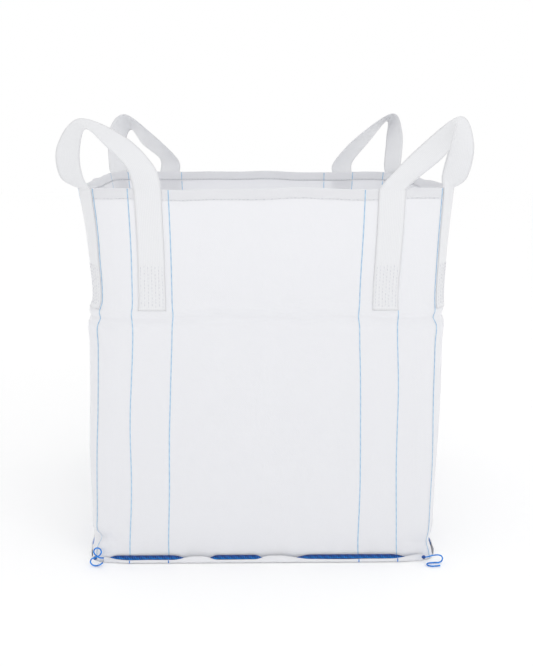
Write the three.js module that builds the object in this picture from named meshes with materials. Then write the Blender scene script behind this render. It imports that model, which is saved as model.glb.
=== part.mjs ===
// Open-top bulk bag: a slack tube of woven polypropylene with a hemmed rim, a sewn-on base
// panel, woven marker threads and four cross-corner lift loops of flat webbing.
// Millimetres, +Z up, origin at the middle of the base's underside, front panel facing -Y.

import * as THREE from 'three';

// ---- driving dimensions ----
const baseWidth = 900;
const rimHeight = 970;
const panelCut = 900;           // one quarter of the tube's flat circumference
const wall = 2.5;
const baseThickness = 2.5;
const wallFoot = baseThickness + 0.6;

const hemDepth = 27;
const hemThickness = 2;
const hemGap = 0.6;

const webbingWidth = 70;
// the rows that sew a leg down: in from the webbing's edges, up from the leg's foot
const stitchMargin = 7;
const stitchThickness = 1.8;
const stitchFoot = 8;
const stitchHeight = 112;
const stitchRows = 7;
const bendAllowance = 4;
const webbingThickness = 3;
const legLength = 302;
const hingeRise = 34;           // height of the loops' bending line above the rim
const hingeGap = 3;
const hingeTaper = 24;          // how far a strap end is cut back at the webbing's edges

// Distances along the flat fabric from the middle of the front or back panel.
const innerMarker = 252;
const outerMarker = 355;
const cornerMarker = 445;
const sideMarker = 545;
const panelLegCentre = outerMarker - 4 - webbingWidth / 2;
const sideLegCentre = cornerMarker + 4 + webbingWidth / 2;

const markerWidth = 3;
const markerFoot = 34;
const layers = {
  marker: [1.1, 1.9],
  hemStitch: [2.2, 2.8],
  webbing: [3.3, 3.3 + webbingThickness],
  legStitch: [6.7, 7.7],
};

const lipReach = 418;           // half the length of a bottom seam lip
const tailDiameter = 3.6;

// The slack tube's plan shape at a few heights: half sizes and corner radius.
const levels = [
  { z: wallFoot, halfX: 450, halfY: 450, corner: 30 },
  { z: 120, halfX: 449, halfY: 449, corner: 45 },
  { z: 420, halfX: 440, halfY: 444, corner: 65 },
  { z: 640, halfX: 431, halfY: 440, corner: 85 },
  { z: 800, halfX: 438, halfY: 446, corner: 115 },
  { z: rimHeight, halfX: 458, halfY: 455, corner: 150 },
];

// ---- materials ----
function finish(color, roughness) {
  return new THREE.MeshStandardMaterial({ color, roughness, metalness: 0 });
}

const wovenWhite = finish(0xe9eaee, 0.55);
const panelWhite = finish(0xdfe1e8, 0.6);
const webbingWhite = finish(0xf1f1f2, 0.6);
const threadWhite = finish(0xd4d5db, 0.7);
const threadBlue = finish(0x2c55a8, 0.6);

const group = new THREE.Group();
group.name = 'bulk_bag';

function addPart(name, geometry, material) {
  const mesh = new THREE.Mesh(geometry, material);
  mesh.name = name;
  group.add(mesh);
}

// ---- the slack wall ----

// A point of one level's outline, with its outward direction; d runs from 0 at the middle
// of the front or back panel to panelCut at the middle of a side panel.
function quarterPoint(level, d) {
  const flatX = level.halfX - level.corner;
  const flatY = level.halfY - level.corner;
  const arc = (level.corner * Math.PI) / 2;
  const t = (d / panelCut) * (flatX + arc + flatY);
  if (t <= flatX) {
    return { x: t, y: level.halfY, nx: 0, ny: 1 };
  }
  if (t >= flatX + arc) {
    return { x: level.halfX, y: flatY - (t - flatX - arc), nx: 1, ny: 0 };
  }
  const turn = (t - flatX) / level.corner;
  const nx = Math.sin(turn);
  const ny = Math.cos(turn);
  return { x: flatX + level.corner * nx, y: flatY + level.corner * ny, nx, ny };
}

// s is the distance round the flat tube from the middle of the front panel, towards +X first.
function levelPoint(level, s, out) {
  const round = 4 * panelCut;
  const around = ((s % round) + round) % round;
  const isBack = around > panelCut && around < 3 * panelCut;
  const isLeft = around > 2 * panelCut;
  const fromMiddle = isBack ? Math.abs(around - 2 * panelCut) : Math.min(around, round - around);
  const p = quarterPoint(level, fromMiddle);
  const x = (p.x + p.nx * out) * (isLeft ? -1 : 1);
  const y = (p.y + p.ny * out) * (isBack ? 1 : -1);
  return new THREE.Vector3(x, y, level.z);
}

// A point at a distance out from the wall's outer face; the wall is straight between levels.
function wallPoint(s, z, out) {
  let upper = levels.findIndex((level) => level.z >= z);
  if (upper < 0) {
    upper = levels.length - 1;
  }
  upper = Math.max(upper, 1);
  const low = levels[upper - 1];
  const high = levels[upper];
  const mix = (Math.min(z, high.z) - low.z) / (high.z - low.z);
  const point = levelPoint(low, s, out).lerp(levelPoint(high, s, out), mix);
  point.z = z;
  return point;
}

function bend(geometry, mapVertex) {
  const position = geometry.attributes.position;
  const vertex = new THREE.Vector3();
  for (let i = 0; i < position.count; i += 1) {
    vertex.fromBufferAttribute(position, i);
    const moved = mapVertex(vertex);
    position.setXYZ(i, moved.x, moved.y, moved.z);
  }
  geometry.computeVertexNormals();
  return geometry;
}

// Where the rings have their corners, from the middle of a front or back panel to a side's.
function quarterStations() {
  const stations = [0, 150];
  const first = 280;
  const last = 640;
  const steps = 18;
  for (let i = 0; i <= steps; i += 1) {
    stations.push(first + ((last - first) * i) / steps);
  }
  stations.push(770);
  return stations;
}

function ringStations() {
  const quarter = quarterStations();
  const opposite = quarter.slice(1).reverse().map((d) => 2 * panelCut - d);
  const half = [...quarter, panelCut, ...opposite];
  return [...half, ...half.map((d) => d + 2 * panelCut)];
}

// A closed ring that follows the wall: profile points hold the distance out and the height.
function ringGeometry(profile) {
  const stations = ringStations();
  const hub = 1000;
  const outline = profile.map(([out, z]) => new THREE.Vector2(hub + out, z));
  outline.push(outline[0].clone());
  const ring = new THREE.LatheGeometry(outline, stations.length);
  return bend(ring, (v) => {
    const turn = Math.atan2(v.x, v.z) / (2 * Math.PI);
    const index = Math.round((turn + 1) * stations.length) % stations.length;
    return wallPoint(stations[index], v.y, Math.hypot(v.x, v.z) - hub);
  });
}

function bodyTube() {
  const outer = levels.map((level) => [0, level.z]);
  const inner = levels.map((level) => [-wall, level.z]).reverse();
  return ringGeometry([...outer, ...inner]);
}

function rimHem() {
  const inside = -wall - hemGap;
  const low = rimHeight - hemDepth;
  return ringGeometry([
    [inside, low],
    [inside, rimHeight],
    [inside - hemThickness, rimHeight],
    [inside - hemThickness, low],
  ]);
}

function hemStitch() {
  const [near, far] = layers.hemStitch;
  const low = rimHeight - hemDepth;
  return ringGeometry([[far, low], [far, low + 2.5], [near, low + 2.5], [near, low]]);
}

// A flat strip lying on the wall, cut at the given heights.
function wallStrip(centre, width, heights, [near, far], widthSteps, cutBack = 0) {
  const steps = heights.length - 1;
  const strip = new THREE.BoxGeometry(width, far - near, 1, widthSteps, 1, steps);
  return bend(strip, (v) => {
    const station = Math.round((v.z + 0.5) * steps);
    const isTop = station === steps;
    const drop = isTop ? (cutBack * Math.abs(v.x)) / (width / 2) : 0;
    return wallPoint(centre + v.x, heights[station] - drop, (near + far) / 2 - v.y);
  });
}

function heightsFrom(low, high) {
  const between = levels.map((level) => level.z).filter((z) => z > low + 1 && z < high - 1);
  return [low, ...between, high];
}

// ---- sewn-on base ----
function basePanel() {
  const half = baseWidth / 2;
  const radius = levels[0].corner;
  const outline = new THREE.Shape();
  outline.moveTo(half, radius - half);
  outline.lineTo(half, half - radius);
  outline.absarc(half - radius, half - radius, radius, 0, Math.PI / 2, false);
  outline.absarc(radius - half, half - radius, radius, Math.PI / 2, Math.PI, false);
  outline.absarc(radius - half, radius - half, radius, Math.PI, 1.5 * Math.PI, false);
  outline.absarc(half - radius, radius - half, radius, 1.5 * Math.PI, 2 * Math.PI, false);
  return new THREE.ExtrudeGeometry(outline, {
    depth: baseThickness,
    bevelEnabled: false,
    curveSegments: 5,
  });
}

// A straight moulding along the bottom edge; profile points hold the distance out and the height.
function edgeStrip(profile, turn) {
  const shape = new THREE.Shape(profile.map(([out, z]) => new THREE.Vector2(out, z)));
  const strip = new THREE.ExtrudeGeometry(shape, { depth: 2 * lipReach, bevelEnabled: false });
  strip.translate(baseWidth / 2, 0, -lipReach);
  strip.rotateX(Math.PI / 2);
  strip.rotateZ(turn);
  return strip;
}

// The seam allowance: it lies under the edge, turns up and leans away from the wall.
const lipProfile = [
  [0.6, 0], [9, 0], [13, 4], [12, 25], [9, 25], [9.6, 6], [7, 3], [0.6, 3],
];
const bandProfile = [[13.3, 6], [14.9, 6], [13.6, 26.5], [12.4, 26.5]];

// ---- lift loops ----

// The loop over the front left corner is built first and the others are its mirror images.
const panelFoot = wallPoint(-panelLegCentre, rimHeight, (layers.webbing[0] + layers.webbing[1]) / 2);
const sideFoot = wallPoint(-sideLegCentre, rimHeight, (layers.webbing[0] + layers.webbing[1]) / 2);
const footMiddle = panelFoot.clone().add(sideFoot).multiplyScalar(0.5);
const footSpan = panelFoot.distanceTo(sideFoot);
const along = sideFoot.clone().sub(panelFoot).normalize();
const outward = new THREE.Vector3(-along.y, along.x, 0).normalize();
if (outward.y > 0) {
  outward.negate();
}

// Loop coordinates: along the line between the feet, outward from the bag, up from the rim.
function loopPoint(a, o, up) {
  const point = footMiddle.clone().addScaledVector(along, a).addScaledVector(outward, o);
  point.z = rimHeight + up;
  return point;
}

const crownHeight = 172;
const crownLean = 74;
const crownStart = 16;
const crownEnd = 44;

const panelSide = new THREE.CatmullRomCurve3([
  loopPoint(-footSpan / 2, 0, hingeRise),
  loopPoint(-0.48 * footSpan, 8, 54),
  loopPoint(-48, 40, 104),
  loopPoint(-16, 64, 152),
  loopPoint(crownStart, crownLean, crownHeight),
]);
const sideSide = new THREE.CatmullRomCurve3([
  loopPoint(crownEnd, crownLean, crownHeight),
  loopPoint(74, 74, 152),
  loopPoint(95, 68, 110),
  loopPoint(101, 47, 72),
  loopPoint(90, 17, 47),
  loopPoint(footSpan / 2, 0, hingeRise),
]);

// The webbing's width direction at each foot and across the crown, as angles in plan.
const crownWidthAngle = Math.atan2(-outward.y, -outward.x);
const panelWidthAngle = 0;
const sideNormal = wallPoint(-sideLegCentre, rimHeight, 1).sub(wallPoint(-sideLegCentre, rimHeight, 0));
const sideWidthAngle = Math.atan2(-sideNormal.x, sideNormal.y);

function strapStations() {
  const stations = [];
  const steps = 11;
  for (let i = 0; i <= steps; i += 1) {
    stations.push({ curve: panelSide, at: i / steps, from: panelWidthAngle, to: crownWidthAngle });
  }
  for (let i = 0; i <= steps; i += 1) {
    stations.push({ curve: sideSide, at: i / steps, from: crownWidthAngle, to: sideWidthAngle });
  }
  return stations;
}

function strapFrame(station, isCrown) {
  const tangent = isCrown ? along.clone() : station.curve.getTangentAt(station.at);
  const angle = station.from + (station.to - station.from) * station.at;
  const width = new THREE.Vector3(Math.cos(angle), Math.sin(angle), 0);
  width.addScaledVector(tangent, -width.dot(tangent)).normalize();
  const face = tangent.clone().cross(width);
  return { centre: station.curve.getPointAt(station.at), tangent, width, face };
}

function strapGeometry(mirrorX, mirrorY) {
  const stations = strapStations();
  const last = stations.length - 1;
  const crown = stations.length / 2;
  const frames = stations.map((station, i) => strapFrame(station, i === crown || i === crown - 1));
  const strap = new THREE.BoxGeometry(webbingWidth, webbingThickness, 1, 4, 1, last);
  bend(strap, (v) => {
    const index = Math.round((v.z + 0.5) * last);
    const frame = frames[index];
    const edge = Math.abs(v.x) / (webbingWidth / 2);
    const isEnd = index === 0 || index === last;
    const shift = isEnd ? (hingeGap + hingeTaper * edge) * (index === 0 ? 1 : -1) : 0;
    const point = frame.centre.clone().addScaledVector(frame.width, v.x);
    point.addScaledVector(frame.face, v.y).addScaledVector(frame.tangent, shift);
    return new THREE.Vector3(point.x * mirrorX, point.y * mirrorY, point.z);
  });
  return mirrorX * mirrorY < 0 ? turnedOutside(strap) : strap;
}

function turnedOutside(geometry) {
  const index = geometry.index;
  for (let i = 0; i < index.count; i += 3) {
    const first = index.getX(i);
    index.setX(i, index.getX(i + 1));
    index.setX(i + 1, first);
  }
  geometry.computeVertexNormals();
  return geometry;
}

// One thread sewn back and forth: upright rows joined at alternate ends.
function rowStitching(centre, low, height, rows) {
  const pitch = (webbingWidth - 2 * stitchMargin) / (rows - 1);
  const thread = stitchThickness;
  const path = [];
  for (let i = 0; i < rows; i += 1) {
    const x = (i - (rows - 1) / 2) * pitch;
    const ends = i % 2 === 0 ? [0, height] : [height, 0];
    path.push(new THREE.Vector2(x, ends[0]), new THREE.Vector2(x, ends[1]));
  }
  const left = offsetPath(path, thread / 2);
  const right = offsetPath(path, -thread / 2);
  const shape = new THREE.Shape([...right, ...left.reverse()]);
  const [near, far] = layers.legStitch;
  const sewn = new THREE.ExtrudeGeometry(shape, { depth: far - near, bevelEnabled: false });
  return bend(sewn, (v) => wallPoint(centre + v.x, low + v.y, near + v.z));
}

// The path moved sideways; its turns are all right angles.
function offsetPath(path, distance) {
  return path.map((point, i) => {
    const before = i > 0 ? point.clone().sub(path[i - 1]).normalize() : null;
    const after = i < path.length - 1 ? path[i + 1].clone().sub(point).normalize() : null;
    const moved = point.clone();
    for (const direction of [before, after]) {
      if (direction) {
        moved.x -= direction.y * distance;
        moved.y += direction.x * distance;
      }
    }
    return moved;
  });
}

// ---- thread tails tied in bows at the front corners ----
const leftTail = [
  [-416, -469, 21], [-424, -468, 21], [-432, -467, 24], [-439, -466, 30], [-442, -465, 37],
  [-439, -464, 44], [-432, -464, 47], [-425, -465, 44], [-422, -467, 37], [-425, -469, 30],
  [-432, -471, 26], [-440, -472, 23], [-447, -472, 20], [-450, -473, 13], [-447, -474, 6],
  [-440, -475, 3], [-432, -475, 3], [-424, -475, 6], [-418, -475, 11],
];
const rightTail = [
  [411, -469, 18], [419, -469, 18], [427, -468, 19], [436, -467, 21], [446, -467, 23],
  [456, -467, 23], [463, -467, 20], [466, -467, 13], [463, -468, 6], [456, -469, 3],
  [448, -469, 3], [440, -470, 3], [432, -471, 3], [426, -474, 3], [423, -480, 3],
  [426, -486, 3], [432, -489, 3], [440, -489, 3], [448, -488, 3], [456, -486, 3],
];

function tailGeometry(route) {
  const path = new THREE.CatmullRomCurve3(route.map(([x, y, z]) => new THREE.Vector3(x, y, z)));
  const sides = 8;
  const section = new THREE.Shape();
  for (let i = 0; i < sides; i += 1) {
    const turn = (2 * Math.PI * i) / sides;
    const x = (Math.cos(turn) * tailDiameter) / 2;
    const y = (Math.sin(turn) * tailDiameter) / 2;
    if (i === 0) {
      section.moveTo(x, y);
    } else {
      section.lineTo(x, y);
    }
  }
  section.closePath();
  const steps = Math.round(path.getLength() / (2 * tailDiameter));
  return new THREE.ExtrudeGeometry(section, { steps, extrudePath: path, bevelEnabled: false });
}

// ---- the whole bag ----
addPart('body_tube', bodyTube(), wovenWhite);
addPart('rim_hem', rimHem(), wovenWhite);
addPart('hem_stitch', hemStitch(), threadWhite);
addPart('base_panel', basePanel(), panelWhite);

const sides = [['front', -Math.PI / 2], ['right', 0], ['back', Math.PI / 2], ['left', Math.PI]];
for (const [side, turn] of sides) {
  addPart(`seam_lip_${side}`, edgeStrip(lipProfile, turn), wovenWhite);
  addPart(`seam_stitch_${side}`, edgeStrip(bandProfile, turn), threadBlue);
}

const corners = [
  { name: 'front_left', mirrorX: 1, mirrorY: 1, place: (d) => -d },
  { name: 'front_right', mirrorX: -1, mirrorY: 1, place: (d) => d },
  { name: 'back_left', mirrorX: 1, mirrorY: -1, place: (d) => 2 * panelCut + d },
  { name: 'back_right', mirrorX: -1, mirrorY: -1, place: (d) => 2 * panelCut - d },
];
const markers = { a: innerMarker, b: outerMarker, c: cornerMarker, d: sideMarker };
const legs = { panel: panelLegCentre, side: sideLegCentre };
const legFoot = rimHeight - legLength;
const legHeights = heightsFrom(legFoot, rimHeight + hingeRise - hingeGap);
legHeights.splice(legHeights.length - 1, 0, rimHeight - bendAllowance);
const markerHeights = heightsFrom(markerFoot, rimHeight);

for (const corner of corners) {
  addPart(`loop_strap_${corner.name}`, strapGeometry(corner.mirrorX, corner.mirrorY), webbingWhite);
  for (const [leg, distance] of Object.entries(legs)) {
    const centre = corner.place(distance);
    const sewn = wallStrip(centre, webbingWidth, legHeights, layers.webbing, 6, hingeTaper);
    addPart(`loop_leg_${leg}_${corner.name}`, sewn, webbingWhite);
    const stitching = rowStitching(centre, legFoot + stitchFoot, stitchHeight, stitchRows);
    addPart(`leg_stitch_${leg}_${corner.name}`, stitching, threadWhite);
  }
  for (const [line, distance] of Object.entries(markers)) {
    const centre = corner.place(distance);
    const thread = wallStrip(centre, markerWidth, markerHeights, layers.marker, 1);
    addPart(`marker_${line}_${corner.name}`, thread, threadBlue);
  }
}

addPart('thread_tail_left', tailGeometry(leftTail), threadBlue);
addPart('thread_tail_right', tailGeometry(rightTail), threadBlue);

export default group;
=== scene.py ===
import math

import bmesh
import bpy
from mathutils import Matrix, Vector, noise


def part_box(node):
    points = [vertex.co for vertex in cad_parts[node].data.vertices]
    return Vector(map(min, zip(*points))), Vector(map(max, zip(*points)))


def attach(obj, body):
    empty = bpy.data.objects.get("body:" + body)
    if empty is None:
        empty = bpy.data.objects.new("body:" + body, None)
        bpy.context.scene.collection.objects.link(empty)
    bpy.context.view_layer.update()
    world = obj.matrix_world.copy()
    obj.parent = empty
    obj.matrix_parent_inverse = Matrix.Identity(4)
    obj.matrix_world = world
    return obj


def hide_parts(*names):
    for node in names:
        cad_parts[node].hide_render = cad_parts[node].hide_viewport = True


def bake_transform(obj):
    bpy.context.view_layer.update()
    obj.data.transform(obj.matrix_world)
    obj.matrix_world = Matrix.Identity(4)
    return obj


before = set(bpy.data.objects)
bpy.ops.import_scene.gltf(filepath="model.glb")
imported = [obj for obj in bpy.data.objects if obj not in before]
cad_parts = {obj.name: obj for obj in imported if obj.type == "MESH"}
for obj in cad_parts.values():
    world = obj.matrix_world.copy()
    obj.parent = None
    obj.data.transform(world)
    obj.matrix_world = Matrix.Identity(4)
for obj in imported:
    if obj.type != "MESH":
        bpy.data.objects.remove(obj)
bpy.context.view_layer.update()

print("stage: frame loaded")

# sizes that everything hangs on, metres
tubeLow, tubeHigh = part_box("body_tube")
footHeight = tubeLow.z
rimHeight = tubeHigh.z
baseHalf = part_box("base_panel")[1].x
panelCut = 2 * baseHalf  # one quarter of the tube's flat width
roundCut = 4 * panelCut
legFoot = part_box("loop_leg_panel_front_left")[0].z

# distances along the cloth from the middle of the front or back panel
cloth = {
    "markers": {"a": 0.252, "b": 0.355, "c": 0.445, "d": 0.545},
    "webbingWidth": 0.070,
    "panelLeg": 0.316,
    "sideLeg": 0.484,
    "thickness": 0.0009,
}

# plan of the slack tube at a few heights: half sizes and corner radius
wallShape = {
    "height": [0.003, 0.12, 0.42, 0.64, 0.80, 0.97],
    "halfX": [0.450, 0.449, 0.440, 0.431, 0.438, 0.458],
    "halfY": [0.450, 0.449, 0.444, 0.440, 0.446, 0.455],
    "corner": [0.030, 0.045, 0.065, 0.085, 0.115, 0.150],
}


# camera
cameraSet = {
    "place": (-0.114, -2.710, 1.110),
    "tiltDegrees": 12.39,
    "yawDegrees": 0.75,
    "lens": 50.4,
    "shiftX": 0.0526,
}


def addCamera():
    data = bpy.data.cameras.new("viewCamera")
    data.lens = cameraSet["lens"]
    data.shift_x = cameraSet["shiftX"]
    camera = bpy.data.objects.new("viewCamera", data)
    camera.location = cameraSet["place"]
    tilt = math.radians(90 - cameraSet["tiltDegrees"])
    camera.rotation_euler = (tilt, 0, -math.radians(cameraSet["yawDegrees"]))
    bpy.context.scene.collection.objects.link(camera)
    bpy.context.scene.camera = camera


addCamera()


# small helpers
def newPiece(name, bm, material, body="bag"):
    mesh = bpy.data.meshes.new(name)
    bm.to_mesh(mesh)
    bm.free()
    piece = bpy.data.objects.new(name, mesh)
    bpy.context.scene.collection.objects.link(piece)
    mesh.materials.append(material)
    for face in mesh.polygons:
        face.use_smooth = True
    if body:
        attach(piece, body)
    return piece


def smoothStep(low, high, value):
    t = min(1.0, max(0.0, (value - low) / (high - low)))
    return t * t * (3 - 2 * t)


def bump(centre, reach, value):
    return 1 - smoothStep(0, reach, abs(value - centre))


def smoothTable(xs, ys, x):
    x = min(xs[-1], max(xs[0], x))
    i = 0
    while i < len(xs) - 2 and x > xs[i + 1]:
        i += 1
    slopes = []
    for k in (i, i + 1):
        a = max(0, k - 1)
        b = min(len(xs) - 1, k + 1)
        slopes.append((ys[b] - ys[a]) / (xs[b] - xs[a]))
    span = xs[i + 1] - xs[i]
    t = (x - xs[i]) / span
    h1 = 2 * t ** 3 - 3 * t ** 2 + 1
    h2 = t ** 3 - 2 * t ** 2 + t
    h3 = -2 * t ** 3 + 3 * t ** 2
    h4 = t ** 3 - t ** 2
    return h1 * ys[i] + h2 * span * slopes[0] + h3 * ys[i + 1] + h4 * span * slopes[1]


def shapeAt(z):
    table = wallShape["height"]
    return [smoothTable(table, wallShape[key], z) for key in ("halfX", "halfY", "corner")]


def wallPoint(s, z, out):
    halfX, halfY, corner = shapeAt(z)
    around = s % roundCut
    isBack = panelCut < around < 3 * panelCut
    isLeft = around > 2 * panelCut
    d = abs(around - 2 * panelCut) if isBack else min(around, roundCut - around)
    flatX = halfX - corner
    flatY = halfY - corner
    arc = corner * math.pi / 2
    t = d / panelCut * (flatX + arc + flatY)
    if t <= flatX:
        x, y, nx, ny = t, halfY, 0.0, 1.0
    elif t >= flatX + arc:
        x, y, nx, ny = halfX, flatY - (t - flatX - arc), 1.0, 0.0
    else:
        turn = (t - flatX) / corner
        nx, ny = math.sin(turn), math.cos(turn)
        x, y = flatX + corner * nx, flatY + corner * ny
    signX = -1 if isLeft else 1
    signY = 1 if isBack else -1
    return Vector((signX * (x + nx * out), signY * (y + ny * out), z))


def wrapped(s):
    return (s + roundCut / 2) % roundCut - roundCut / 2  # 0 at the middle of the front panel


# folds and slackness pressed into the cloth
folds = {
    "height": 0.655, "depth": 0.0055, "width": 0.010,
    "slack": 0.008, "ripple": 0.0042, "kinks": 13, "kinkDepth": 0.004,
    "puckers": 59, "puckerDepth": 0.0016, "puckerTall": 0.035,
    "second": 0.687, "secondDepth": 0.0016,
    "middle": -0.012, "middleDepth": 0.0012,
    "tuckLeft": {"place": -0.458, "height": 0.062, "reach": 0.045, "tall": 0.017, "depth": 0.022},
    "tuckRight": {"place": 0.455, "height": 0.045, "reach": 0.060, "tall": 0.024, "depth": 0.010},
}


def ringSpot(s):
    turn = 2 * math.pi * s / roundCut
    return Vector((math.cos(turn), math.sin(turn), 0))


def relief(s, z):
    p = wrapped(s)
    around = ringSpot(s)
    low = noise.noise(around * 1.6 + Vector((0, 0, z * 1.7)))
    mid = noise.noise(around * 5.5 + Vector((7.1, 0, z * 3.1)))
    out = folds["slack"] * low + folds["ripple"] * mid
    # the folded-flat crease half way up, wandering a little round the bag
    wander = 0.005 * noise.noise(around * 3 + Vector((3, 3, 3))) - 0.010 * smoothStep(0.1, 0.4, abs(p))
    line = z - folds["height"] - wander
    out -= folds["depth"] * math.exp(-((line / folds["width"]) ** 2))
    out += 0.5 * folds["depth"] * math.exp(-(((line + 0.03) / 0.022) ** 2))
    second = z - folds["second"] - 0.5 * wander - 0.02 * p
    across = smoothStep(-0.05, 0.12, p) * smoothStep(0.38, 0.3, p)
    out += folds["secondDepth"] * math.exp(-((second / 0.007) ** 2)) * across
    # a slanting crease that runs off the fold towards the right corner
    slant = (z - 0.662) + (p - 0.32) * 0.52
    out += 0.0022 * math.exp(-((slant / 0.008) ** 2)) * bump(0.36, 0.07, p)
    # upright fold down the middle of the front and back panels
    for middle in (folds["middle"], roundCut / 2 + 0.01):
        away = wrapped(s - middle)
        out += folds["middleDepth"] * math.exp(-((away / 0.012) ** 2)) * smoothStep(0.02, 0.2, z)
    # short puckers where the bottom seam gathers the cloth
    pucker = math.sin(folds["puckers"] * 2 * math.pi * s / roundCut + 3 * noise.noise(around * 9))
    out += folds["puckerDepth"] * pucker * math.exp(-((z - footHeight) / folds["puckerTall"]) ** 2)
    for key in ("tuckLeft", "tuckRight"):
        tuck = folds[key]
        near = math.exp(-(((p - tuck["place"]) / tuck["reach"]) ** 2))
        out -= tuck["depth"] * near * math.exp(-(((z - tuck["height"]) / tuck["tall"]) ** 2))
    return out * smoothStep(-0.02, 0.05, z)


def sway(s, z):
    around = ringSpot(s)
    drift = 0.006 * noise.noise(around * 6 + Vector((0, 5.2, z * 4.2)))
    waves = math.sin(folds["kinks"] * 2 * math.pi * s / roundCut)
    kink = folds["kinkDepth"] * math.exp(-(((z - folds["height"]) / 0.02) ** 2)) * waves
    return (drift + kink) * smoothStep(0.0, 0.08, z)


def rimWave(s):
    return 0.007 * noise.noise(ringSpot(s) * 3.3 + Vector((1.7, 0, 0))) - 0.002


# how far the slack sides stand out past the plan at each height
sideSpread = {
    "height": [0.0, 0.12, 0.30, 0.42, 0.655, 0.69, 0.80, 0.88, 0.97],
    "left": [0.0, 0.0, 0.008, 0.010, 0.016, 0.002, 0.004, 0.006, 0.013],
    "right": [0.0, 0.003, 0.009, 0.014, 0.027, 0.023, 0.024, 0.024, 0.024],
    "from": 0.34, "full": 0.43,
}


def clothPoint(s, z, out=0.0):
    height = z + rimWave(s) * smoothStep(0.55, 1.0, z / rimHeight)
    point = wallPoint(s + sway(s, z), height, out + relief(s, z))
    side = "left" if point.x < 0 else "right"
    spread = smoothTable(sideSpread["height"], sideSpread[side], z)
    reach = smoothStep(sideSpread["from"], sideSpread["full"], abs(point.x))
    point.x += math.copysign(spread, point.x) * reach
    return point


def clothNormal(s, z):
    step = 0.004
    along = clothPoint(s + step, z) - clothPoint(s - step, z)
    up = clothPoint(s, z + step) - clothPoint(s, z - step)
    return along.cross(up).normalized()


# materials
def material(name, color, roughness, sheen=0.0):
    made = bpy.data.materials.new(name)
    made.use_nodes = True
    shader = made.node_tree.nodes["Principled BSDF"]
    shader.inputs["Base Color"].default_value = (*color, 1)
    shader.inputs["Roughness"].default_value = roughness
    shader.inputs["Sheen Weight"].default_value = sheen
    return made, made.node_tree, shader


def link(tree, a, b):
    tree.links.new(a, b)


def mathNode(tree, operation, first, second=None):
    node = tree.nodes.new("ShaderNodeMath")
    node.operation = operation
    for socket, value in zip(node.inputs, (first, second)):
        if value is None:
            continue
        if isinstance(value, (int, float)):
            socket.default_value = value
        else:
            link(tree, value, socket)
    return node.outputs[0]


wovenSet = {
    "tape": 0.0030,
    "glow": 0.3,  # thin cloth lets some light through
    "glowReach": 0.004,
    "white": (0.765, 0.77, 0.80),
    "shade": (0.69, 0.698, 0.735),
}


def wovenMaterial(name, white, shade, bumpStrength=0.25):
    # flat tapes crossing over and under; the UV map is in metres
    made, tree, shader = material(name, white, 0.52, 0.15)
    shader.inputs["Subsurface Weight"].default_value = wovenSet["glow"]
    shader.inputs["Subsurface Radius"].default_value = (1.0, 1.0, 1.0)
    shader.inputs["Subsurface Scale"].default_value = wovenSet["glowReach"]
    uv = tree.nodes.new("ShaderNodeUVMap")
    uv.uv_map = "clothUv"
    parts = tree.nodes.new("ShaderNodeSeparateXYZ")
    link(tree, uv.outputs[0], parts.inputs[0])
    scale = 1 / wovenSet["tape"]
    u = mathNode(tree, "MULTIPLY", parts.outputs[0], scale)
    v = mathNode(tree, "MULTIPLY", parts.outputs[1], scale)
    warp = mathNode(tree, "ABSOLUTE", mathNode(tree, "SINE", mathNode(tree, "MULTIPLY", u, math.pi)))
    weft = mathNode(tree, "ABSOLUTE", mathNode(tree, "SINE", mathNode(tree, "MULTIPLY", v, math.pi)))
    cellU = mathNode(tree, "FLOOR", u)
    cellV = mathNode(tree, "FLOOR", v)
    over = mathNode(tree, "PINGPONG", mathNode(tree, "ADD", cellU, cellV), 1)
    mix = tree.nodes.new("ShaderNodeMix")
    link(tree, over, mix.inputs[0])
    link(tree, warp, mix.inputs[2])
    link(tree, weft, mix.inputs[3])
    weave = mix.outputs[0]
    streaks = tree.nodes.new("ShaderNodeTexNoise")
    streaks.inputs["Scale"].default_value = 1.0
    streaks.inputs["Detail"].default_value = 3.0
    stretch = tree.nodes.new("ShaderNodeMapping")
    stretch.inputs["Scale"].default_value = (160, 4, 1)
    link(tree, uv.outputs[0], stretch.inputs[0])
    link(tree, stretch.outputs[0], streaks.inputs["Vector"])
    cloudy = tree.nodes.new("ShaderNodeTexNoise")
    cloudy.inputs["Scale"].default_value = 5.0
    cloudy.inputs["Detail"].default_value = 4.0
    coords = tree.nodes.new("ShaderNodeTexCoord")
    link(tree, coords.outputs["Object"], cloudy.inputs["Vector"])
    cloudTone = mathNode(tree, "MULTIPLY_ADD", cloudy.outputs["Fac"], 0.4)
    # the weave's sunken tape edges are painted darker: painted shade in the weave's hollows, added to
    # random cloudy and streaky tone
    weaveHollowShade = mathNode(tree, "MULTIPLY", weave, 0.18)
    total = mathNode(tree, "ADD", cloudTone, weaveHollowShade)
    total = mathNode(tree, "ADD", total, mathNode(tree, "MULTIPLY", streaks.outputs["Fac"], 0.5))
    ramp = tree.nodes.new("ShaderNodeValToRGB")
    ramp.color_ramp.elements[0].position = 0.25
    ramp.color_ramp.elements[0].color = (*shade, 1)
    ramp.color_ramp.elements[1].position = 0.8
    ramp.color_ramp.elements[1].color = (*white, 1)
    link(tree, total, ramp.inputs[0])
    link(tree, ramp.outputs[0], shader.inputs["Base Color"])
    raised = tree.nodes.new("ShaderNodeBump")
    raised.inputs["Strength"].default_value = bumpStrength
    raised.inputs["Distance"].default_value = 0.0006
    link(tree, weave, raised.inputs["Height"])
    link(tree, raised.outputs[0], shader.inputs["Normal"])
    return made


webbingWeave = {"rib": 0.0046, "pick": 0.0032}


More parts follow.
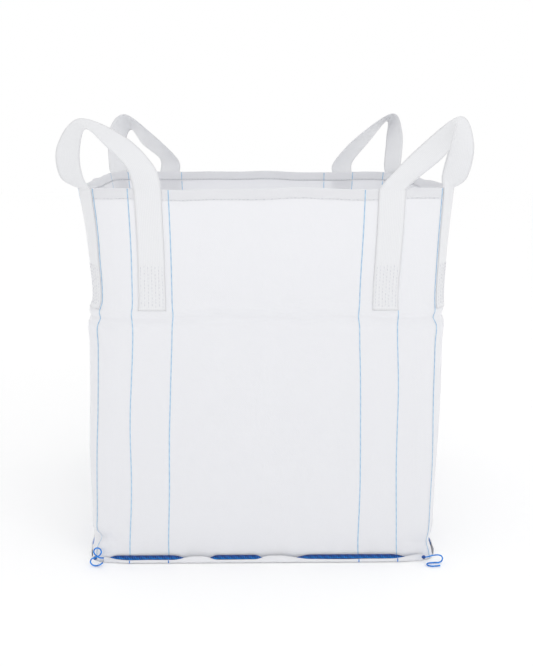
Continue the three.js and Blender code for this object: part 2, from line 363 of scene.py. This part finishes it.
def webbingMaterial():
    # ribs run along the webbing, with a herringbone of picks across them
    made, tree, shader = material("webbingWhite", (0.74, 0.745, 0.765), 0.5, 0.2)
    uv = tree.nodes.new("ShaderNodeUVMap")
    uv.uv_map = "clothUv"
    parts = tree.nodes.new("ShaderNodeSeparateXYZ")
    link(tree, uv.outputs[0], parts.inputs[0])
    ribs = mathNode(tree, "MULTIPLY", parts.outputs[0], 2 * math.pi / webbingWeave["rib"])
    rib = mathNode(tree, "SINE", ribs)
    slant = mathNode(tree, "PINGPONG", parts.outputs[0], webbingWeave["rib"])
    slanted = mathNode(tree, "ADD", parts.outputs[1], slant)
    picks = mathNode(tree, "SINE", mathNode(tree, "MULTIPLY", slanted, 2 * math.pi / webbingWeave["pick"]))
    ribHeight = mathNode(tree, "MULTIPLY", rib, 0.6)
    pickHeight = mathNode(tree, "MULTIPLY", picks, 0.4)
    height = mathNode(tree, "ADD", ribHeight, pickHeight)
    raised = tree.nodes.new("ShaderNodeBump")
    raised.inputs["Strength"].default_value = 0.35
    raised.inputs["Distance"].default_value = 0.0005
    link(tree, height, raised.inputs["Height"])
    link(tree, raised.outputs[0], shader.inputs["Normal"])
    ramp = tree.nodes.new("ShaderNodeValToRGB")
    ramp.color_ramp.elements[0].color = (0.71, 0.716, 0.74, 1)
    ramp.color_ramp.elements[1].color = (0.79, 0.795, 0.81, 1)
    # the colour follows the rib and pick heights, the low parts darker: painted shade in the webbing's
    # hollows
    level = mathNode(tree, "MULTIPLY_ADD", height, 0.3)
    level.node.inputs[2].default_value = 0.6
    link(tree, level, ramp.inputs[0])
    link(tree, ramp.outputs[0], shader.inputs["Base Color"])
    return made


def threadMaterial(name, color, twistShade, twist=0.0016, sheen=0.3):
    made, tree, shader = material(name, color, 0.5, sheen)
    coords = tree.nodes.new("ShaderNodeTexCoord")
    # diagonal stripes along the twist; the darker ones are painted shade in the grooves between the plies
    wave = tree.nodes.new("ShaderNodeTexWave")
    wave.bands_direction = "DIAGONAL"
    wave.inputs["Scale"].default_value = 0.05 / twist
    wave.inputs["Distortion"].default_value = 1.5
    link(tree, coords.outputs["Object"], wave.inputs["Vector"])
    ramp = tree.nodes.new("ShaderNodeValToRGB")
    ramp.color_ramp.elements[0].color = (*twistShade, 1)
    ramp.color_ramp.elements[1].color = (*color, 1)
    link(tree, wave.outputs["Fac"], ramp.inputs[0])
    link(tree, ramp.outputs[0], shader.inputs["Base Color"])
    return made


wovenWhite = wovenMaterial("wovenWhite", wovenSet["white"], wovenSet["shade"])
baseWhite = wovenMaterial("baseWhite", (0.70, 0.71, 0.75), (0.62, 0.63, 0.68))
webbingWhite = webbingMaterial()
threadWhite = threadMaterial("threadWhite", (0.72, 0.73, 0.76), (0.60, 0.61, 0.66))
threadBlue = threadMaterial("threadBlue", (0.004, 0.235, 0.74), (0.002, 0.155, 0.56), 0.0016, 0.0)
# navy: the knots' thread, and the painted shadow strip behind the bottom seam's blue stitches
threadNavyAndSeamShadow = threadMaterial("threadNavyAndSeamShadow", (0.004, 0.05, 0.28), (0.002, 0.02, 0.14), 0.0016, 0.0)
markerBlue = threadMaterial("markerBlue", (0.40, 0.60, 0.78), (0.30, 0.50, 0.72), 0.0016, 0.1)


# thread tails: cords come first
tailSet = {"diameter": 0.0036}
tailRoutes = {
    "threadTailLeft": [
        (-0.416, -0.469, 0.021), (-0.424, -0.468, 0.021), (-0.432, -0.467, 0.024),
        (-0.439, -0.466, 0.030), (-0.442, -0.465, 0.037), (-0.439, -0.464, 0.044),
        (-0.432, -0.464, 0.047), (-0.425, -0.465, 0.044), (-0.422, -0.467, 0.037),
        (-0.425, -0.469, 0.030), (-0.432, -0.471, 0.026), (-0.440, -0.472, 0.023),
        (-0.447, -0.472, 0.020), (-0.450, -0.473, 0.013), (-0.447, -0.474, 0.006),
        (-0.440, -0.475, 0.003), (-0.432, -0.475, 0.003), (-0.424, -0.475, 0.006),
        (-0.418, -0.475, 0.011),
    ],
    "threadTailRight": [
        (0.411, -0.469, 0.018), (0.419, -0.469, 0.018), (0.427, -0.468, 0.019),
        (0.436, -0.467, 0.021), (0.446, -0.467, 0.023), (0.456, -0.467, 0.023),
        (0.463, -0.467, 0.020), (0.466, -0.467, 0.013), (0.463, -0.468, 0.006),
        (0.456, -0.469, 0.003), (0.448, -0.469, 0.003), (0.440, -0.470, 0.003),
        (0.432, -0.471, 0.003), (0.426, -0.474, 0.003), (0.423, -0.480, 0.003),
        (0.426, -0.486, 0.003), (0.432, -0.489, 0.003), (0.440, -0.489, 0.003),
        (0.448, -0.488, 0.003), (0.456, -0.486, 0.003),
    ],
}


def smoothRoute(points, perStep=6):
    path = []
    spots = [Vector(p) for p in points]
    for i in range(len(spots) - 1):
        before = spots[max(0, i - 1)]
        after = spots[min(len(spots) - 1, i + 2)]
        a, b = spots[i], spots[i + 1]
        for k in range(perStep):
            t = k / perStep
            path.append(0.5 * (2 * a + (b - before) * t + (2 * before - 5 * a + 4 * b - after) * t * t
                               + (3 * a - before - 3 * b + after) * t ** 3))
    path.append(spots[-1])
    return path


def addTail(name, node):
    path = smoothRoute(tailRoutes[name])
    data = bpy.data.curves.new(name, "CURVE")
    data.dimensions = "3D"
    data.bevel_depth = tailSet["diameter"] / 2
    data.bevel_resolution = 3
    data.use_fill_caps = True
    spline = data.splines.new("POLY")
    spline.points.add(len(path) - 1)
    for point, spot in zip(spline.points, path):
        point.co = (*spot, 1)
    tail = bpy.data.objects.new(name, data)
    bpy.context.scene.collection.objects.link(tail)
    data.materials.append(threadBlue)
    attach(tail, "bag")
    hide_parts(node)


addTail("threadTailLeft", "thread_tail_left")
addTail("threadTailRight", "thread_tail_right")
print("stage: thread tails")


# the body: one tube of cloth, its rim turned in for the hem
bodySet = {
    "columns": 288, "rows": 128, "hemDepth": 0.027, "turn": 0.0008, "turnSteps": 5, "hemSteps": 4,
}


def hemOut():
    return 2 * bodySet["turn"] + 0.0004


def bodyProfile():
    # (height, distance out) from the foot up the outside, over the rim and down the hem inside
    rows = bodySet["rows"]
    tall = rimHeight - footHeight - bodySet["turn"]
    profile = [(footHeight + tall * i / rows, 0.0) for i in range(rows + 1)]
    top = profile[-1][0]
    for i in range(1, bodySet["turnSteps"] + 1):
        angle = math.pi * i / bodySet["turnSteps"]
        profile.append((top + bodySet["turn"] * math.sin(angle), -bodySet["turn"] * (1 - math.cos(angle))))
    for i in range(1, bodySet["hemSteps"] + 1):
        profile.append((top - bodySet["hemDepth"] * i / bodySet["hemSteps"], -hemOut()))
    return profile


def bodyCloth():
    profile = bodyProfile()
    columns = bodySet["columns"]
    bm = bmesh.new()
    bmesh.ops.create_grid(bm, x_segments=columns, y_segments=len(profile) - 1, size=1)
    uvLayer = bm.loops.layers.uv.new("clothUv")
    length = [0.0]
    for a, b in zip(profile, profile[1:]):
        length.append(length[-1] + math.hypot(b[0] - a[0], b[1] - a[1]))
    for face in bm.faces:
        for loop in face.loops:
            flat = loop.vert.co
            row = round((flat.y + 1) / 2 * (len(profile) - 1))
            loop[uvLayer].uv = ((flat.x + 1) / 2 * roundCut, length[row])
    for vert in bm.verts:
        row = round((vert.co.y + 1) / 2 * (len(profile) - 1))
        s = (vert.co.x + 1) / 2 * roundCut
        z, out = profile[row]
        vert.co = clothPoint(s, z, out)
    bmesh.ops.remove_doubles(bm, verts=bm.verts, dist=0.0002)
    piece = newPiece("bodyCloth", bm, wovenWhite)
    shell = piece.modifiers.new("thickness", "SOLIDIFY")
    shell.thickness = cloth["thickness"]
    shell.offset = -1
    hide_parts("body_tube", "rim_hem")


bodyCloth()
print("stage: body cloth")


# base panel
baseSet = {"inset": 0.001, "thickness": 0.0012, "low": 0.0018, "swell": 0.0022}


def basePanel():
    bm = bmesh.new()
    bmesh.ops.create_grid(bm, x_segments=60, y_segments=60, size=1)
    uvLayer = bm.loops.layers.uv.new("clothUv")
    radius = wallShape["corner"][0]
    for vert in bm.verts:
        x, y = vert.co.x * (baseHalf - baseSet["inset"]), vert.co.y * (baseHalf - baseSet["inset"])
        inner = baseHalf - baseSet["inset"] - radius
        cx, cy = max(0, abs(x) - inner), max(0, abs(y) - inner)
        if cx > 0 and cy > 0:
            reach = max(cx, cy) / math.hypot(cx, cy)
            x = math.copysign(inner + cx * reach, x)
            y = math.copysign(inner + cy * reach, y)
        edge = max(abs(x), abs(y)) / baseHalf
        swell = max(0, noise.noise(Vector((x * 4, y * 4, 1))))
        lift = baseSet["low"] + baseSet["swell"] * swell * smoothStep(1.0, 0.85, edge)
        vert.co = (x, y, lift)
    for face in bm.faces:
        for loop in face.loops:
            loop[uvLayer].uv = (loop.vert.co.x, loop.vert.co.y)
    piece = newPiece("basePanel", bm, baseWhite)
    shell = piece.modifiers.new("thickness", "SOLIDIFY")
    shell.thickness = baseSet["thickness"]
    shell.offset = -1
    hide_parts("base_panel")


basePanel()
print("stage: base panel")


# threads and strips laid on the cloth
def stripOnCloth(bm, centre, width, spots, rise, across=2):
    # spots: (height, distance out) up the strip; rise crowns it, below zero on the inside
    steps = len(spots) - 1
    grid = bmesh.ops.create_grid(bm, x_segments=across, y_segments=steps, size=1)
    for vert in grid["verts"]:
        z, out = spots[round((vert.co.y + 1) / 2 * steps)]
        crown = rise * (1 - vert.co.x ** 2)
        vert.co = clothPoint(centre + vert.co.x * width / 2, z, out + crown)


corners = {
    "front_left": {"place": lambda d: -d, "mirror": (1, 1), "panelLeg": 0.304},
    "front_right": {"place": lambda d: d, "mirror": (-1, 1), "panelLeg": 0.321},
    "back_left": {"place": lambda d: 2 * panelCut + d, "mirror": (1, -1), "panelLeg": 0.294},
    "back_right": {"place": lambda d: 2 * panelCut - d, "mirror": (-1, -1), "panelLeg": 0.316},
}


def titled(name):
    return "".join(word.capitalize() for word in name.split("_"))


bodyHeights = [row[0] for row in bodyProfile()[: bodySet["rows"] + 1]]


markerSet = {"width": 0.0026, "rise": 0.0006, "clear": 0.0002}


def addMarkers():
    # the coloured yarn shows on both faces of the cloth, and on the hem that is turned in
    clear, rise = markerSet["clear"], markerSet["rise"]
    outside = [(z, clear) for z in bodyHeights]
    hemFoot = rimHeight - bodySet["turn"] - bodySet["hemDepth"]
    inside = [(z, -cloth["thickness"] - clear) for z in bodyHeights if z < hemFoot - 0.002]
    hemInside = [(hemFoot, -hemOut() - clear), (rimHeight - 0.002, -hemOut() - clear)]
    for cornerName, corner in corners.items():
        for line, distance in cloth["markers"].items():
            centre = corner["place"](distance)
            bm = bmesh.new()
            stripOnCloth(bm, centre, markerSet["width"], outside, rise)
            stripOnCloth(bm, centre, markerSet["width"], inside, -rise)
            stripOnCloth(bm, centre, markerSet["width"], hemInside, -rise)
            piece = newPiece(f"marker{line.upper()}{titled(cornerName)}", bm, markerBlue)
            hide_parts(f"marker_{line}_{cornerName}")


addMarkers()
print("stage: marker yarns")


# lift loops
loopSet = {
    "thickness": 0.0018, "wallGap": 0.0003, "across": 10, "legRows": 44, "foot": 0.003,
    "perStep": 14, "turned": 0.8, "standOff": 0.0048,
}

# The free webbing of each loop. Its middle passes the spots: metres along the line from the panel
# leg to the side leg, outward, and up from the rim. Its outer edge swings in plan from the first
# turn to the second, and tips up most at the crown, in degrees.
loopShapes = {
    "front_left": {
        "spots": [(-0.080, 0.010, 0.050), (-0.035, 0.045, 0.110), (0.035, 0.075, 0.150),
                  (0.085, 0.065, 0.090), (0.100, 0.035, 0.025)],
        "turn": (20, 150), "tip": 20,
    },
    "front_right": {
        "spots": [(-0.060, 0.015, 0.020), (-0.005, 0.060, 0.090), (0.045, 0.085, 0.155),
                  (0.075, 0.065, 0.095), (0.090, 0.030, 0.025)],
        "turn": (0, 165), "tip": 20,
    },
    "back_left": {
        "spots": [(-0.095, 0.000, 0.040), (-0.035, 0.040, 0.105), (0.020, 0.070, 0.160),
                  (0.060, 0.065, 0.115), (0.075, 0.020, 0.020)],
        "turn": (30, 150), "tip": 45,
    },
    "back_right": {
        "spots": [(-0.075, 0.005, 0.030), (-0.025, 0.045, 0.100), (0.055, 0.085, 0.175),
                  (0.080, 0.065, 0.115), (0.090, 0.020, 0.025)],
        "turn": (20, 130), "tip": 20,
    },
}


def loopAxes():
    panelFoot = wallPoint(-cloth["panelLeg"], rimHeight, loopSet["standOff"])
    sideFoot = wallPoint(-cloth["sideLeg"], rimHeight, loopSet["standOff"])
    along = (sideFoot - panelFoot).normalized()
    outward = Vector((along.y, -along.x, 0)).normalized()
    if outward.y > 0:
        outward.negate()
    return (panelFoot + sideFoot) / 2, along, outward


loopMiddle, loopAlong, loopOutward = loopAxes()
halfWebbing = cloth["webbingWidth"] / 2
webbingShares = [2 * k / loopSet["across"] - 1 for k in range(loopSet["across"] + 1)]


def freeRow(shape, index, mirror):
    along, outward, up = shape["spots"][index]
    centre = loopMiddle + loopAlong * along + loopOutward * outward
    centre.z = rimHeight + up
    share = index / (len(shape["spots"]) - 1)
    first, last = shape["turn"]
    turn = math.radians(first + (last - first) * smoothStep(0, loopSet["turned"], share))
    tip = math.radians(shape["tip"]) * math.sin(math.pi * share)
    width = Vector((math.cos(turn) * math.cos(tip), math.sin(turn) * math.cos(tip), math.sin(tip)))
    flip = Matrix.Diagonal((mirror[0], mirror[1], 1))
    return [flip @ (centre + width * place * halfWebbing) for place in webbingShares]


def legRow(corner, leg, z):
    # the outer edge of the webbing is the one farther from the bag's corner
    gap = loopSet["wallGap"] + loopSet["thickness"] / 2
    if leg == "panel":
        spots = [corner["place"](corner["panelLeg"] - share * halfWebbing) for share in webbingShares]
    else:
        spots = [corner["place"](cloth["sideLeg"] + share * halfWebbing) for share in webbingShares]
    return [clothPoint(s, z, gap) for s in spots]


def loopRows(cornerName, corner):
    # up the panel leg, over the crown, down the side leg
    top = rimHeight - loopSet["foot"]
    steps = loopSet["legRows"]
    heights = [legFoot + (top - legFoot) * i / steps for i in range(steps + 1)]
    panelRows = [legRow(corner, "panel", z) for z in heights]
    sideRows = [legRow(corner, "side", z) for z in reversed(heights)]
    keys = [panelRows[-1]]
    shape = loopShapes[cornerName]
    keys += [freeRow(shape, i, corner["mirror"]) for i in range(len(shape["spots"]))]
    keys.append(sideRows[0])
    columns = [smoothRoute([row[k] for row in keys], loopSet["perStep"]) for k in range(len(webbingShares))]
    freeRows = [list(row) for row in zip(*columns)]
    return panelRows[:-1] + freeRows + sideRows[1:]


def addLoop(cornerName, corner):
    rows = loopRows(cornerName, corner)
    steps = len(rows) - 1
    columns = loopSet["across"]
    bm = bmesh.new()
    bmesh.ops.create_grid(bm, x_segments=columns, y_segments=steps, size=1)
    uvLayer = bm.loops.layers.uv.new("clothUv")
    length = [0.0]
    for a, b in zip(rows, rows[1:]):
        length.append(length[-1] + (b[columns // 2] - a[columns // 2]).length)
    for face in bm.faces:
        for loop in face.loops:
            flat = loop.vert.co
            loop[uvLayer].uv = (flat.x * halfWebbing, length[round((flat.y + 1) / 2 * steps)])
    for vert in bm.verts:
        row = rows[round((vert.co.y + 1) / 2 * steps)]
        vert.co = row[round((vert.co.x + 1) / 2 * columns)]
    bmesh.ops.recalc_face_normals(bm, faces=bm.faces)
    piece = newPiece(f"liftLoop{titled(cornerName)}", bm, webbingWhite, body=None)
    thick = piece.modifiers.new("thickness", "SOLIDIFY")
    thick.thickness = loopSet["thickness"]
    thick.offset = 0
    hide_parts(f"loop_strap_{cornerName}", f"loop_leg_panel_{cornerName}",
                f"loop_leg_side_{cornerName}")
    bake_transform(piece)


for cornerName, corner in corners.items():
    addLoop(cornerName, corner)
print("stage: lift loops")


# stitches
def sewStitch(bm, a, b, normal, width, height):
    along = b - a
    direction = along.normalized()
    side = normal.cross(direction).normalized()
    up = direction.cross(side)
    turn = Matrix((direction, side, up)).transposed().to_4x4()
    size = Matrix.Diagonal((along.length / 2, width / 2, height / 2, 1))
    bmesh.ops.create_icosphere(bm, subdivisions=1, radius=1,
                               matrix=Matrix.Translation((a + b) / 2) @ turn @ size)


stitchSet = {
    "hemPitch": 0.0100, "hemLength": 0.0078, "hemAbove": 0.002, "hemClear": 0.0005,
    "legRows": 7, "legPitch": 0.0088, "legLength": 0.0070, "legTall": 0.112,
    "legEdges": 0.014, "legStart": 0.008, "legStagger": 0.003, "legClear": 0.0002,
    "width": 0.0016, "height": 0.0012,
}


def addHemStitch():
    bm = bmesh.new()
    count = round(roundCut / stitchSet["hemPitch"])
    z = rimHeight - bodySet["hemDepth"] + stitchSet["hemAbove"]
    for i in range(count):
        s = roundCut * i / count
        a = clothPoint(s, z, stitchSet["hemClear"])
        b = clothPoint(s + stitchSet["hemLength"], z, stitchSet["hemClear"])
        sewStitch(bm, a, b, clothNormal(s, z), stitchSet["width"], stitchSet["height"])
        inside = -hemOut() - stitchSet["hemClear"]
        a = clothPoint(s, z, inside)
        b = clothPoint(s + stitchSet["hemLength"], z, inside)
        sewStitch(bm, a, b, clothNormal(s, z), stitchSet["width"], stitchSet["height"])
    piece = newPiece("hemStitch", bm, threadWhite)
    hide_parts("hem_stitch")


def addLegStitches():
    rows = stitchSet["legRows"]
    gap = loopSet["wallGap"] + loopSet["thickness"] + stitchSet["legClear"]
    spread = cloth["webbingWidth"] - stitchSet["legEdges"]
    for cornerName, corner in corners.items():
        for leg, distance in (("panel", corner["panelLeg"]), ("side", cloth["sideLeg"])):
            bm = bmesh.new()
            centre = corner["place"](distance)
            count = int(stitchSet["legTall"] / stitchSet["legPitch"])
            for row in range(rows):
                s = centre + (row / (rows - 1) - 0.5) * spread
                low = legFoot + stitchSet["legStart"]
                for k in range(count):
                    z = low + k * stitchSet["legPitch"] + (row % 2) * stitchSet["legStagger"]
                    a = clothPoint(s, z, gap)
                    b = clothPoint(s, z + stitchSet["legLength"], gap)
                    sewStitch(bm, a, b, clothNormal(s, z), stitchSet["width"], stitchSet["height"])
            piece = newPiece(f"legStitch{leg.capitalize()}{titled(cornerName)}", bm, threadWhite)
            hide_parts(f"leg_stitch_{leg}_{cornerName}")


addHemStitch()
addLegStitches()
print("stage: stitches")


# bottom seam
# The seam allowance turns up against the wall: a white fold in front, and behind it the edge that
# is overlocked with blue thread, which shows wherever the fold drops away from the wall.
seamSet = {
    "reach": 0.418, "steps": 150, "pitch": 0.0046, "thread": 0.0021,
    "foldLow": 0.0105, "foldHigh": 0.0205, "shut": 0.12, "thickness": 0.0012,
}
sides = {
    "front": {"turn": 0.0, "open": [(-0.435, -0.180), (-0.160, 0.015), (0.045, 0.412)]},
    "right": {"turn": math.pi / 2, "open": [(-0.39, -0.10), (0.02, 0.38)]},
    "back": {"turn": math.pi, "open": [(-0.40, -0.06), (0.0, 0.20), (0.25, 0.40)]},
    "left": {"turn": -math.pi / 2, "open": [(-0.38, 0.05), (0.11, 0.41)]},
}


def seamPlace(turn, t, out, z):
    # t runs along the edge, to the right as seen from outside
    return Matrix.Rotation(turn, 3, "Z") @ Vector((t, -(baseHalf + out), z))


def seamOpen(t, side):
    opened = 0.0
    for start, end in sides[side]["open"]:
        ease = 0.22 * (end - start)
        opened = max(opened, smoothStep(start, start + ease, t) * smoothStep(end, end - ease, t))
    return opened


def seamWave(t, side, pitch):
    return noise.noise(Vector((t * pitch, 2.7 * len(side), ord(side[0]) * 0.37)))


def lipHug(t):
    # the seam lies closer to the wall towards the corners
    return 0.3 + 0.7 * smoothStep(seamSet["reach"], seamSet["reach"] - 0.07, abs(t))


def lipSection(t, side):
    opened = seamOpen(t, side)
    wave = 0.0010 * seamWave(t, side, 11)
    low, high = seamSet["foldLow"], seamSet["foldHigh"]
    top = high + (low - high) * opened + 0.0012 * seamWave(t, side, 17)
    lean = 0.0115 - 0.0020 * (1 - opened)
    hug = lipHug(t)
    section = [
        (0.0012, 0.0020), (0.0055, 0.0012), (0.0100 + wave, 0.0016), (0.0128 + wave, 0.0040),
        (0.0130 + wave, 0.0075), (lean + wave, top), (lean - 0.0018 + wave, top - 0.0005),
        (lean - 0.0026 + wave, top - 0.0040),
    ]
    return [(0.0012 + (out - 0.0012) * hug, z) for out, z in section]


def addLip(side):
    steps = seamSet["steps"]
    section = len(lipSection(0, side)) - 1
    bm = bmesh.new()
    bmesh.ops.create_grid(bm, x_segments=steps, y_segments=section, size=1)
    uvLayer = bm.loops.layers.uv.new("clothUv")
    for face in bm.faces:
        for loop in face.loops:
            loop[uvLayer].uv = (loop.vert.co.x * seamSet["reach"], loop.vert.co.y * 0.02)
    for vert in bm.verts:
        t = vert.co.x * seamSet["reach"]
        out, z = lipSection(t, side)[round((vert.co.y + 1) / 2 * section)]
        vert.co = seamPlace(sides[side]["turn"], t, out, z)
    bmesh.ops.recalc_face_normals(bm, faces=bm.faces)
    lip = newPiece(f"seamLip{side.capitalize()}", bm, wovenWhite)
    thick = lip.modifiers.new("thickness", "SOLIDIFY")
    thick.thickness = seamSet["thickness"]
    thick.offset = 0
    smooth = lip.modifiers.new("smooth", "SUBSURF")
    smooth.levels = 1
    smooth.render_levels = 1
    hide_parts(f"seam_lip_{side}")


def addSeamStitch(side):
    # a navy strip, painted shadow in the gap behind the upturned fold, with slanting blue threads over it
    # and a chain along it
    turn = sides[side]["turn"]
    pitch, thread = seamSet["pitch"], seamSet["thread"]
    facing = seamPlace(turn, 0, 1, 0.5) - seamPlace(turn, 0, 0, 0)
    bm = bmesh.new()
    grid = bmesh.ops.create_grid(bm, x_segments=seamSet["steps"], y_segments=2, size=1)
    for vert in grid["verts"]:
        t = vert.co.x * (seamSet["reach"] - 0.004)
        up = (vert.co.y + 1) / 2
        out = (0.0062 - 0.0030 * up) * lipHug(t)
        vert.co = seamPlace(turn, t, out, 0.0045 + 0.0155 * up * seamOpen(t, side))
    bmesh.ops.recalc_face_normals(bm, faces=bm.faces)
    for i in range(int(2 * seamSet["reach"] / pitch)):
        t = -seamSet["reach"] + (i + 0.5) * pitch
        opened = seamOpen(t, side)
        if opened < seamSet["shut"]:
            continue  # shut behind the white fold
        hug = lipHug(t)
        wave = 0.0008 * seamWave(t, side, 23)
        top = 0.0105 + 0.0085 * opened + wave
        low = seamPlace(turn, t, 0.0078 * hug, 0.0075)
        high = seamPlace(turn, t + 0.6 * pitch, 0.0056 * hug, top)
        chain = seamPlace(turn, t + 0.1 * pitch, 0.0082 * hug, 0.0125 + wave)
        nextChain = seamPlace(turn, t + 1.15 * pitch, 0.0082 * hug, 0.0121 + wave)
        sewStitch(bm, low, high, facing, thread, thread)
        sewStitch(bm, chain, nextChain, facing, thread * 1.2, thread)
    stitches = newPiece(f"seamStitch{side.capitalize()}", bm, threadBlue)
    # the strip's four-sided faces take the navy: painted shadow in the gap between the wall and the fold
    stitches.data.materials.append(threadNavyAndSeamShadow)
    for face in stitches.data.polygons:
        if len(face.vertices) == 4:
            face.material_index = 1
    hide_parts(f"seam_stitch_{side}")


def addLipTicks():
    # the marker yarns run on into the seam allowance and cross its fold
    bm = bmesh.new()
    half = markerSet["width"] / 2
    for side in ("front", "back"):
        for sign in (-1, 1):
            for line in ("a", "b"):
                t = sign * cloth["markers"][line] * 0.986
                section = lipSection(t, side)[2:6]
                grid = bmesh.ops.create_grid(bm, x_segments=1, y_segments=len(section) - 1, size=1)
                for vert in grid["verts"]:
                    out, z = section[round((vert.co.y + 1) / 2 * (len(section) - 1))]
                    vert.co = seamPlace(sides[side]["turn"], t + vert.co.x * half, out + 0.0010, z)
    ticks = newPiece("seamMarkers", bm, threadBlue)


def addKnot(name, centre):
    # the tail's knot: two turns of thread drawn tight round each other
    bm = bmesh.new()
    for lean in (-35, 40):
        upright = Matrix.Rotation(math.pi / 2, 4, "X")
        ring = bmesh.ops.create_circle(bm, segments=10, radius=tailSet["diameter"] * 0.55,
                                       matrix=Matrix.Translation((0.0030, 0, 0)) @ upright)
        edges = [edge for edge in bm.edges if edge.verts[0] in ring["verts"]]
        bmesh.ops.spin(bm, geom=ring["verts"] + edges, cent=(0, 0, 0), axis=(0, 0, 1),
                       angle=2 * math.pi, steps=18, use_merge=True)
        fresh = [vert for vert in bm.verts if not vert.tag]
        bmesh.ops.transform(bm, verts=fresh, matrix=Matrix.Translation(centre)
                            @ Matrix.Rotation(math.radians(lean), 4, "Y") @ Matrix.Rotation(0.7, 4, "X"))
        for vert in fresh:
            vert.tag = True
    bmesh.ops.recalc_face_normals(bm, faces=bm.faces)
    knot = newPiece(name, bm, threadNavyAndSeamShadow)


for side in sides:
    addLip(side)
    addSeamStitch(side)
addLipTicks()
addKnot("knotLeft", (-0.4385, -0.4685, 0.0205))
addKnot("knotRight", (0.4165, -0.4680, 0.0180))
print("stage: bottom seam")


# floor and light
def addFloor():
    bm = bmesh.new()
    bmesh.ops.create_grid(bm, x_segments=1, y_segments=1, size=14)
    floor = newPiece("floor", bm, material("floorWhite", (1, 1, 1), 0.9)[0], body=None)


def addLight(name, place, target, size, power):
    data = bpy.data.lights.new(name, "AREA")
    data.size = size
    data.energy = power
    light = bpy.data.objects.new(name, data)
    light.location = place
    light.rotation_euler = (Vector(target) - Vector(place)).to_track_quat("-Z", "Y").to_euler()
    light.visible_camera = False
    bpy.context.scene.collection.objects.link(light)


def addWorld():
    world = bpy.data.worlds.new("studio")
    world.use_nodes = True
    sky = world.node_tree.nodes["Background"]
    sky.inputs["Color"].default_value = (1, 1, 1, 1)
    sky.inputs["Strength"].default_value = 1.0
    bpy.context.scene.world = world
    bpy.context.scene.view_settings.view_transform = "Standard"


addFloor()
addWorld()
addLight("key", (2.2, -3.2, 3.6), (0, 0, 0.5), 1.6, 12)
addLight("front", (-0.2, -5.2, 1.7), (0, 0, 0.9), 2.4, 14)
# a weak lamp in the bag stands in for light that comes through the cloth
addLight("inside", (0, 0, 0.5), (0, 0.4, 1.3), 0.5, 1.1)
print("stage: floor and light")
